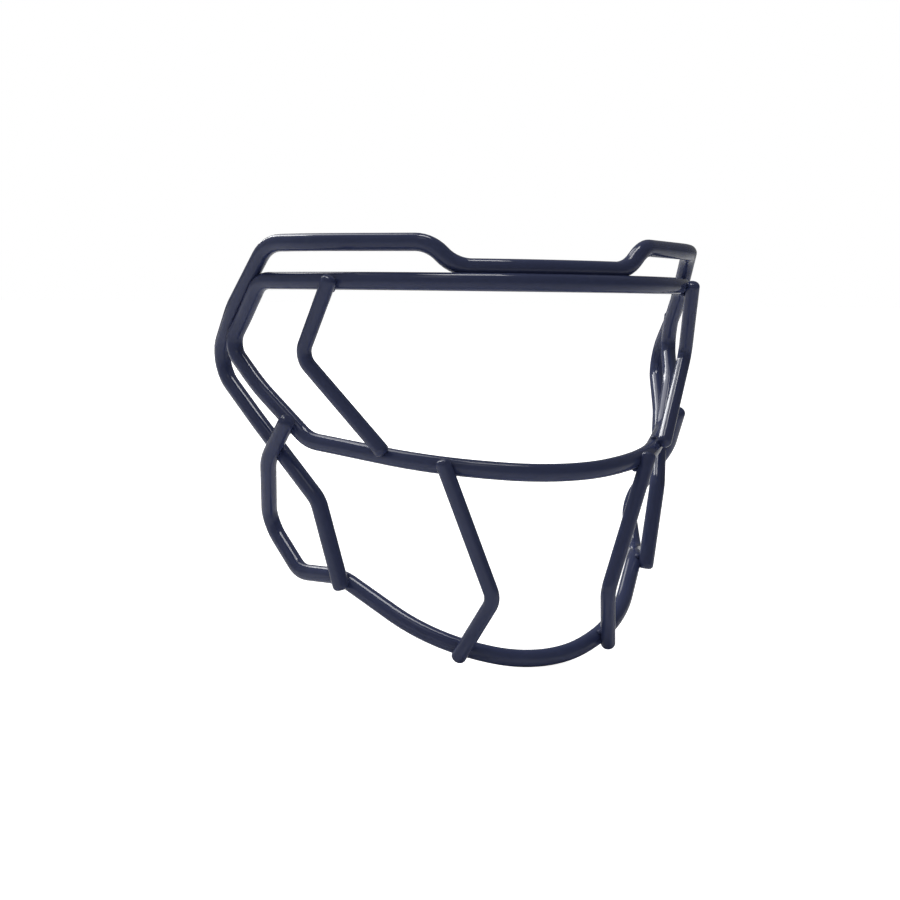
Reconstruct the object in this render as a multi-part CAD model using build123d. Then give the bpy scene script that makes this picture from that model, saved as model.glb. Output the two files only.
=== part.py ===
"""Wire face mask: three bent frame wires and four bars, welded where they touch.

Millimetres. X points to the wearer's left, Y backwards and Z up. The origin is on the mid-plane,
at the back of the brow bar, where the mask meets the front edge of a helmet.
"""
import os
from math import acos, cos, radians, sin

from build123d import *

# ------------------------------------------------------------------ wire and weld sizes
FRAME_WIRE = 7.0  # outer frame, inner ring and chin wire, over their coating
BAR_WIRE = 6.1  # eye bars and chin bars, over their coating
END_ROUNDING = 2.0  # edge radius of a cut wire end
BEAD_RADIUS = 1.2  # weld bead
BEAD_ROUNDING = 1.1  # edge radius of its ends
BEAD_TURN = 16.0  # degrees round the wire from the crease to the middle of its bead
CROSS_BEAD_LENGTH = 3.6  # bead where two wires cross
SEAM_BEAD_LENGTH = 12.0  # bead in the seam of two wires that run side by side

# ------------------------------------------------------------------ heights from the brow bar
RAIL_HEIGHT = 15.0
DIP_HEIGHT = 5.5
RING_EAR_HEIGHT = -27.5
FRAME_EAR_HEIGHT = -36.0
EYE_RAIL_HEIGHT = -72.5
JAW_END_HEIGHT = -126.5
CHIN_HEIGHT = -151.5

# ------------------------------------------------------------------ plan of the brow bar
BROW_ARC = 93.5  # radius of its centre line, seen from above
BROW_ARC_STEP = 26.0  # degrees between the bends that make up the arc
BROW_ARC_FILL = 0.97  # share of each run that the bends take up
BROW_ARC_CENTRE = BROW_ARC - FRAME_WIRE / 2  # how far the arc's centre lies behind the origin

MEETING_STEPS = 40  # projections from wire to wire that find where two wires meet


class Corner:
    """A corner of a wire's route, with the centre-line radius of the bend there."""

    def __init__(self, x, y, z, bend=0.0):
        self.point = Vector(x, y, z)
        self.bend = bend

    def mirrored(self):
        return Corner(-self.point.X, self.point.Y, self.point.Z, self.bend)


def brow_corner(steps):
    """A corner of the polygon round the brow arc, some steps out from the mid-plane."""
    reach = BROW_ARC / cos(radians(BROW_ARC_STEP / 2))
    angle = radians(steps * BROW_ARC_STEP)
    back = BROW_ARC_CENTRE - reach * cos(angle)
    return Corner(reach * sin(angle), back, 0, BROW_ARC * BROW_ARC_FILL)


# ------------------------------------------------------------------ routes of the frame wires
# Each list is the wearer's left half of a wire, from the mid-plane outwards.
OUTER_FRAME_HALF = [
    Corner(0, -3, DIP_HEIGHT, bend=85),
    Corner(37, 8, DIP_HEIGHT, bend=16),  # S-bend, where the dip leaves the brow bar
    Corner(45.5, 11.5, RAIL_HEIGHT, bend=14),
    Corner(86, 44, RAIL_HEIGHT, bend=65),
    Corner(97.5, 63.5, RAIL_HEIGHT, bend=19),  # temple
    Corner(106.5, 90, -11.5, bend=46),
    Corner(110, 114.5, FRAME_EAR_HEIGHT, bend=13),  # ear
    Corner(97.5, 85.5, -59, bend=67),
    Corner(79, 53, -89.5, bend=10),  # cheek
    Corner(70.5, 46.5, JAW_END_HEIGHT),
]
RING_HALF = [
    brow_corner(0),
    brow_corner(1),
    brow_corner(2),
    Corner(99, 71, 0, bend=13),  # temple
    Corner(103, 87.5, -16, bend=42),
    Corner(107, 97, RING_EAR_HEIGHT, bend=8),  # ear
    Corner(98.3, 78, -44, bend=85),
    Corner(82.3, 55.8, -65, bend=17),  # cheek
    Corner(46, 3, -70, bend=95),
    Corner(0, -20, EYE_RAIL_HEIGHT, bend=50),
]
CHIN_WIRE_HALF = [
    Corner(0, -2, CHIN_HEIGHT, bend=46),
    Corner(41, 16, -143, bend=80),
    Corner(69, 54, -122.5, bend=25),
    Corner(81, 76.5, -124.5, bend=13),
    Corner(89.5, 100.5, -106, bend=10),  # jaw
    Corner(95.5, 73.5, -74.5, bend=30),
    Corner(90.7, 56.5, -56),
]

# ------------------------------------------------------------------ routes of the left bars
EYE_BAR = [
    Corner(80, 29.5, 1.5),
    Corner(87.5, 47, -30, bend=7),
    Corner(61.5, 17.5, -66.5),
]
CHIN_BAR = [
    Corner(44.5, -1.5, -67),
    Corner(24.5, -7, -121.5, bend=8),
    Corner(33.5, 9, -149),
]


def mirrored_half(half):
    """The wearer's right side of a half route, from its far end inwards."""
    return [corner.mirrored() for corner in reversed(half) if corner.point.X != 0]


def wire_path(route):
    bends = [corner.bend for corner in route[1:-1]]
    return FilletPolyline([corner.point for corner in route], radius=bends)


def ring_path(route):
    bends = [corner.bend for corner in route]
    return FilletPolyline([corner.point for corner in route], radius=bends, close=True)


def round_wire(path, diameter):
    section = Plane(path @ 0, z_dir=path % 0) * Circle(diameter / 2)
    return sweep(section, path=path)


def cut_wire(path, diameter):
    """A length of round wire with both cut ends rounded over."""
    wire = round_wire(path, diameter)
    ends = wire.faces().filter_by(GeomType.PLANE)
    return fillet(ends.edges(), END_ROUNDING)


def meeting_points(path, other_path, near):
    """The points on two wires' centre lines where they pass closest, around a place near there."""
    here = Vertex(*near)
    for _ in range(MEETING_STEPS):
        on_path = path.closest_points(here)[0]
        on_other = other_path.closest_points(Vertex(on_path))[0]
        here = Vertex(on_other)
    return on_path, on_other


def bead_in_crease(on_path, on_other, crease, near, along, lean, length):
    """A bead along the other wire, on the near side, past the crease where the first wire lies on it."""
    outwards = (on_path - on_other).normalized()
    sideways = outwards.cross(along).normalized()
    if sideways.dot(Vector(*near) - on_other) < 0:
        sideways = -sideways
    radius = FRAME_WIRE / 2
    turn = crease + radians(BEAD_TURN)
    aside = radius * sin(turn)
    slip = aside * lean.dot(along) / lean.dot(sideways) if lean else 0
    middle = on_other + outwards * (radius * cos(turn)) + sideways * aside + along * slip
    rod = Cylinder(BEAD_RADIUS, length)
    bead = fillet(rod.edges().filter_by(GeomType.CIRCLE), BEAD_ROUNDING)
    return Plane(middle, x_dir=outwards, z_dir=along) * bead


def cross_bead(path, diameter, other_path, near):
    """The bead where a wire crosses another or ends on it. It follows the first wire's lean."""
    on_path, on_other = meeting_points(path, other_path, near)
    lift = (on_path - on_other).length - diameter / 2
    crease = acos(lift / (FRAME_WIRE / 2))
    along = other_path.tangent_at(on_other)
    lean = path.tangent_at(on_path)
    return bead_in_crease(on_path, on_other, crease, near, along, lean, CROSS_BEAD_LENGTH)


def seam_bead(path, other_path, near):
    """The bead between two frame wires that run side by side."""
    on_path, on_other = meeting_points(path, other_path, near)
    crease = acos((on_path - on_other).length / FRAME_WIRE)
    along = other_path.tangent_at(on_other)
    return bead_in_crease(on_path, on_other, crease, near, along, None, SEAM_BEAD_LENGTH)


# ------------------------------------------------------------------ centre lines
outer_path = wire_path(mirrored_half(OUTER_FRAME_HALF) + OUTER_FRAME_HALF)
inner_path = ring_path(RING_HALF + mirrored_half(RING_HALF))
chin_path = wire_path(mirrored_half(CHIN_WIRE_HALF) + CHIN_WIRE_HALF)
eye_bar_path = wire_path(EYE_BAR)
chin_bar_path = wire_path(CHIN_BAR)

# ------------------------------------------------------------------ wires
# A wire that is pressed into another while it is welded gives way to it.
inner_ring = round_wire(inner_path, FRAME_WIRE)
outer_frame = cut_wire(outer_path, FRAME_WIRE) - inner_ring
chin_wire = cut_wire(chin_path, FRAME_WIRE) - inner_ring - outer_frame
eye_bar = cut_wire(eye_bar_path, BAR_WIRE) - inner_ring
chin_bar = cut_wire(chin_bar_path, BAR_WIRE) - inner_ring - chin_wire

nodes = {
    "outer_frame_wire": outer_frame,
    "inner_frame_ring": inner_ring,
    "chin_wire": chin_wire,
    "left_eye_bar": eye_bar,
    "left_chin_bar": chin_bar,
}

# ------------------------------------------------------------------ welds
# Each bead lies on the side of its wires that the place names, away from the outside of the mask.
seam_welds = {
    "brow_weld": (outer_path, (28, 8, 0)),
    "ear_weld": (outer_path, (98, 92, -17)),
}
cross_welds = {
    "ring_chin_wire_weld": (chin_path, FRAME_WIRE, inner_path, (90, 60, -66)),
    "frame_chin_wire_weld": (chin_path, FRAME_WIRE, outer_path, (90, 72, -80)),
    "jaw_weld": (outer_path, FRAME_WIRE, chin_path, (70, 48, -112)),
    "eye_bar_top_weld": (eye_bar_path, BAR_WIRE, inner_path, (79, 33, -8)),
    "eye_bar_foot_weld": (eye_bar_path, BAR_WIRE, inner_path, (63, 20, -60)),
    "chin_bar_top_weld": (chin_bar_path, BAR_WIRE, inner_path, (42, 1, -78)),
    "chin_bar_foot_weld": (chin_bar_path, BAR_WIRE, chin_path, (31, 9, -136)),
}
wires = list(nodes.values())
for name, (path, near) in seam_welds.items():
    nodes["left_" + name] = seam_bead(path, inner_path, near) - wires
for name, place in cross_welds.items():
    nodes["left_" + name] = cross_bead(*place) - wires

# ------------------------------------------------------------------ the wearer's right side
for name in [name for name in nodes if name.startswith("left_")]:
    nodes[name.replace("left_", "right_")] = mirror(nodes[name], about=Plane.YZ)

os.makedirs("parts", exist_ok=True)
for name, solid in nodes.items():
    solid.label = name
    export_step(solid, f"parts/{name}.step")
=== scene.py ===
"""The wire face mask in its glossy navy coating, on a pale floor under soft studio light.

Metres, in the CAD's frame: X to the wearer's left, Y backwards, Z up.
"""
import math

import bpy
from mathutils import Matrix, Vector


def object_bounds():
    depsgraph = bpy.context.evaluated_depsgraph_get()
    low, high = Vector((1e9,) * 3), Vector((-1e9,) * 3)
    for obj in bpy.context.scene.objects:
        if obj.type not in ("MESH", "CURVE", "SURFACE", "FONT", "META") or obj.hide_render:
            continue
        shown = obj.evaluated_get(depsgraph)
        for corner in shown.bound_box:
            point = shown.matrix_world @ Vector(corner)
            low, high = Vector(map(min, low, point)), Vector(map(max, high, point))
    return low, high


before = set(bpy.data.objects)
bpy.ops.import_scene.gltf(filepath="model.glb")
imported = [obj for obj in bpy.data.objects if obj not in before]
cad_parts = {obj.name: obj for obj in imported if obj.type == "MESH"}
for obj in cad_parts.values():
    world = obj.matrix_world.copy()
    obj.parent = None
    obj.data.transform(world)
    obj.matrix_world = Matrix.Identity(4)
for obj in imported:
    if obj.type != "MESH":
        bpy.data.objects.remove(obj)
cad_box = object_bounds()

MM = 0.001
LOW, HIGH = cad_box
MIDDLE = (LOW + HIGH) / 2
SIZE = HIGH - LOW
WIRE = 7 * MM  # the frame wire, the scale that the coating's detail is made to


# ------------------------------------------------------------------ node helpers
MIX_COLOR_INPUTS = (6, 7)  # the Mix node's colour sockets
MIX_COLOR_OUTPUT = 2


def new_material(name):
    """A new material, with its node tree and its Principled shader."""
    material = bpy.data.materials.new(name)
    material.use_nodes = True
    return material, material.node_tree, material.node_tree.nodes["Principled BSDF"]


def noise(tree, place, size, detail=2.0):
    """Noise whose blobs are about the given size, in metres."""
    node = tree.nodes.new("ShaderNodeTexNoise")
    node.inputs["Scale"].default_value = 1 / size
    node.inputs["Detail"].default_value = detail
    tree.links.new(place, node.inputs["Vector"])
    return node.outputs["Fac"]


def remap(tree, value, low, high, out_low, out_high):
    """The value's range from low to high, spread from out_low to out_high and held there."""
    node = tree.nodes.new("ShaderNodeMapRange")
    node.inputs["From Min"].default_value = low
    node.inputs["From Max"].default_value = high
    node.inputs["To Min"].default_value = out_low
    node.inputs["To Max"].default_value = out_high
    tree.links.new(value, node.inputs["Value"])
    return node.outputs["Result"]


def mixed_color(tree, share, color, other_color):
    """The first colour with a share of the other. Each is a plain colour or a node's output."""
    node = tree.nodes.new("ShaderNodeMix")
    node.data_type = "RGBA"
    tree.links.new(share, node.inputs["Factor"])
    for index, value in zip(MIX_COLOR_INPUTS, (color, other_color)):
        if isinstance(value, tuple):
            node.inputs[index].default_value = value
        else:
            tree.links.new(value, node.inputs[index])
    return node.outputs[MIX_COLOR_OUTPUT]


def added(tree, value, other_value):
    """The sum of two nodes' outputs."""
    node = tree.nodes.new("ShaderNodeMath")
    node.operation = "ADD"
    tree.links.new(value, node.inputs[0])
    tree.links.new(other_value, node.inputs[1])
    return node.outputs[0]


# ------------------------------------------------------------------ coating
NAVY = (0.058, 0.073, 0.167, 1)
DEEP_NAVY = (0.050, 0.064, 0.151, 1)
TONE_SIZE = WIRE * 3  # of the slow changes between the two

SCUFFED_NAVY = (0.080, 0.097, 0.185, 1)
SCUFF_SIZE = WIRE * 1.6
SCUFF_DETAIL = 6
SCUFF_EDGE = 0.66  # noise level at which a rubbed patch begins
SCUFF_CORE = 0.74  # noise level from which it is fully rubbed
SCUFF_TINT = 0.35  # share of the scuffed colour where it is fully rubbed
SCUFF_ROUGHNESS = 0.10  # what it adds to the roughness there

GLOSS_SIZE = WIRE / 2  # of the changes in gloss
LEAST_ROUGHNESS = 0.07
MOST_ROUGHNESS = 0.10
GLOSS_LOW = 0.3  # noise levels that give the least and the most roughness
GLOSS_HIGH = 0.7
COATING_IOR = 1.5

FLOW_RADIUS = 1.0 * MM  # reach of the coating's smoothing over the bends
FLOW_SAMPLES = 8
PEEL_SIZE = 1.8 * MM  # orange peel
PEEL_DEPTH = 0.05 * MM
PEEL_STRENGTH = 0.02


def coating_color(tree, place, patches):
    """Navy with slow changes of tone, a little paler where it is rubbed."""
    navy = mixed_color(tree, noise(tree, place, TONE_SIZE), NAVY, DEEP_NAVY)
    scuff_share = remap(tree, patches, 0, 1, 0, SCUFF_TINT)
    return mixed_color(tree, scuff_share, navy, SCUFFED_NAVY)


def coating_roughness(tree, place, patches):
    """Glossy, with slight changes, and duller where it is rubbed."""
    unevenness = noise(tree, place, GLOSS_SIZE)
    gloss = remap(tree, unevenness, GLOSS_LOW, GLOSS_HIGH, LEAST_ROUGHNESS, MOST_ROUGHNESS)
    rub = remap(tree, patches, 0, 1, 0, SCUFF_ROUGHNESS)
    return added(tree, gloss, rub)


def coating_normal(tree, place):
    """Faint orange peel on a coating that flows smoothly over the bends."""
    flow = tree.nodes.new("ShaderNodeBevel")
    flow.samples = FLOW_SAMPLES
    flow.inputs["Radius"].default_value = FLOW_RADIUS
    peel = tree.nodes.new("ShaderNodeBump")
    peel.inputs["Strength"].default_value = PEEL_STRENGTH
    peel.inputs["Distance"].default_value = PEEL_DEPTH
    tree.links.new(flow.outputs["Normal"], peel.inputs["Normal"])
    tree.links.new(noise(tree, place, PEEL_SIZE), peel.inputs["Height"])
    return peel.outputs["Normal"]


def coating_material():
    """Glossy baked coating: faint orange peel, slow changes of tone, and a few rubbed patches."""
    material, tree, shader = new_material("navy_coating")
    place = tree.nodes.new("ShaderNodeTexCoord").outputs["Object"]
    grain = noise(tree, place, SCUFF_SIZE, SCUFF_DETAIL)
    patches = remap(tree, grain, SCUFF_EDGE, SCUFF_CORE, 0, 1)
    tree.links.new(coating_color(tree, place, patches), shader.inputs["Base Color"])
    tree.links.new(coating_roughness(tree, place, patches), shader.inputs["Roughness"])
    tree.links.new(coating_normal(tree, place), shader.inputs["Normal"])
    shader.inputs["IOR"].default_value = COATING_IOR
    return material


def dress_wires():
    """Put the one coating on every wire and weld."""
    coating = coating_material()
    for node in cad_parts.values():
        node.data.materials.clear()
        node.data.materials.append(coating)


# ------------------------------------------------------------------ floor and room
WHITE = (1, 1, 1, 1)

FLOOR_REACH = 60  # in sizes of the mask
FLOOR_SHADE = 0.92  # the floor's albedo, as the coating reflects it
FLOOR_GLOW = 1.0  # the floor as the camera sees it, an evenly lit white
FLOOR_ROUGHNESS = 0.9

BACKDROP_GLOW = 1.0  # the room as the camera sees it
ROOM_GLOW_RIGHT = 0.25  # the room as the coating reflects it, on the wearer's right
ROOM_GLOW_LEFT = 0.11  # and on the wearer's left


def camera_ray(tree):
    """1 for what the camera sees directly, and 0 for what is reflected or lit."""
    return tree.nodes.new("ShaderNodeLightPath").outputs["Is Camera Ray"]


def floor_material():
    """Pale and matt, and evenly white to the camera."""
    material, tree, shader = new_material("pale_floor")
    shader.inputs["Base Color"].default_value = (FLOOR_SHADE, FLOOR_SHADE, FLOOR_SHADE, 1)
    shader.inputs["Roughness"].default_value = FLOOR_ROUGHNESS
    shader.inputs["Specular IOR Level"].default_value = 0
    shader.inputs["Emission Color"].default_value = WHITE
    glow = remap(tree, camera_ray(tree), 0, 1, 0, FLOOR_GLOW)
    tree.links.new(glow, shader.inputs["Emission Strength"])
    return material


def make_floor():
    """A floor under the mask's lowest point, far larger than the camera's view."""
    reach = SIZE.length * FLOOR_REACH
    corner_signs = ((-1, -1), (1, -1), (1, 1), (-1, 1))
    corners = [(x * reach, y * reach, LOW.z) for x, y in corner_signs]
    mesh = bpy.data.meshes.new("floor")
    mesh.from_pydata(corners, [], [(0, 1, 2, 3)])
    mesh.materials.append(floor_material())
    floor = bpy.data.objects.new("floor", mesh)
    bpy.context.collection.objects.link(floor)


def make_room():
    """A dim room, lighter on the wearer's right, behind an evenly white backdrop."""
    world = bpy.data.worlds.new("studio")
    world.use_nodes = True
    tree = world.node_tree
    background = tree.nodes["Background"]
    background.inputs["Color"].default_value = WHITE
    direction = tree.nodes.new("ShaderNodeTexCoord").outputs["Generated"]
    split = tree.nodes.new("ShaderNodeSeparateXYZ")
    tree.links.new(direction, split.inputs[0])
    room = remap(tree, split.outputs["X"], -1, 1, ROOM_GLOW_RIGHT, ROOM_GLOW_LEFT)
    seen = tree.nodes.new("ShaderNodeMix")
    tree.links.new(camera_ray(tree), seen.inputs["Factor"])
    tree.links.new(room, seen.inputs["A"])
    seen.inputs["B"].default_value = BACKDROP_GLOW
    tree.links.new(seen.outputs["Result"], background.inputs["Strength"])
    bpy.context.scene.world = world


# ------------------------------------------------------------------ lights
LIGHT_HEIGHT = 1.2  # of the softboxes above the middle of the mask, in metres


def make_softbox(name, x, y, width, depth, radiance, turn=0.0):
    """A softbox that faces down, with its place and size as shares of its height.

    Radiance is how bright its face is, and turn is its angle in the level plane, in degrees.
    """
    light = bpy.data.lights.new(name, "AREA")
    light.shape = "RECTANGLE"
    light.size = width * LIGHT_HEIGHT
    light.size_y = depth * LIGHT_HEIGHT
    light.energy = radiance * math.pi * light.size * light.size_y
    softbox = bpy.data.objects.new(name, light)
    bpy.context.collection.objects.link(softbox)
    softbox.location = MIDDLE + Vector((x, y, 1)) * LIGHT_HEIGHT
    softbox.rotation_euler = (0, 0, math.radians(turn))
    softbox.visible_camera = False


def make_lights():
    """Softboxes overhead and behind for the narrow highlights, and a weak fill in front."""
    make_softbox("overhead_softbox", x=0.01, y=0.10, width=0.36, depth=0.25, radiance=7)
    make_softbox("wide_softbox", x=-0.20, y=1.3, width=0.36, depth=1.9, radiance=2.4)
    make_softbox("strip_softbox", x=-0.50, y=2.0, width=0.15, depth=3.0, radiance=10, turn=3)
    make_softbox("front_fill", x=-0.45, y=-0.42, width=0.35, depth=0.30, radiance=0.7)


# ------------------------------------------------------------------ camera
CAMERA_PLACE = Vector((-203.62, -448.86, -5.25)) * MM
CAMERA_AZIMUTH = math.radians(-19.952)  # from straight ahead, negative on the wearer's right
CAMERA_ELEVATION = math.radians(6.968)  # how far down it looks
CAMERA_ROLL = math.radians(0.683)
SENSOR_WIDTH = 36.0  # mm
FOCAL_LENGTH = 50.51  # mm


def camera_axes():
    """The camera's right, up and backward directions."""
    back = Vector((math.sin(CAMERA_AZIMUTH) * math.cos(CAMERA_ELEVATION),
                   -math.cos(CAMERA_AZIMUTH) * math.cos(CAMERA_ELEVATION),
                   math.sin(CAMERA_ELEVATION)))
    level = Vector((math.cos(CAMERA_AZIMUTH), math.sin(CAMERA_AZIMUTH), 0))
    above = back.cross(level)
    right = math.cos(CAMERA_ROLL) * level + math.sin(CAMERA_ROLL) * above
    up = math.cos(CAMERA_ROLL) * above - math.sin(CAMERA_ROLL) * level
    return right, up, back


def make_camera():
    """A camera in front of the mask on the wearer's right, about as high as the brow bar."""
    camera = bpy.data.objects.new("camera", bpy.data.cameras.new("camera"))
    bpy.context.collection.objects.link(camera)
    turned = Matrix(camera_axes()).transposed().to_4x4()
    camera.matrix_world = Matrix.Translation(CAMERA_PLACE) @ turned
    camera.data.sensor_width = SENSOR_WIDTH
    camera.data.lens = FOCAL_LENGTH
    bpy.context.scene.camera = camera


dress_wires()
make_floor()
make_room()
make_lights()
make_camera()
bpy.context.scene.view_settings.view_transform = "Standard"
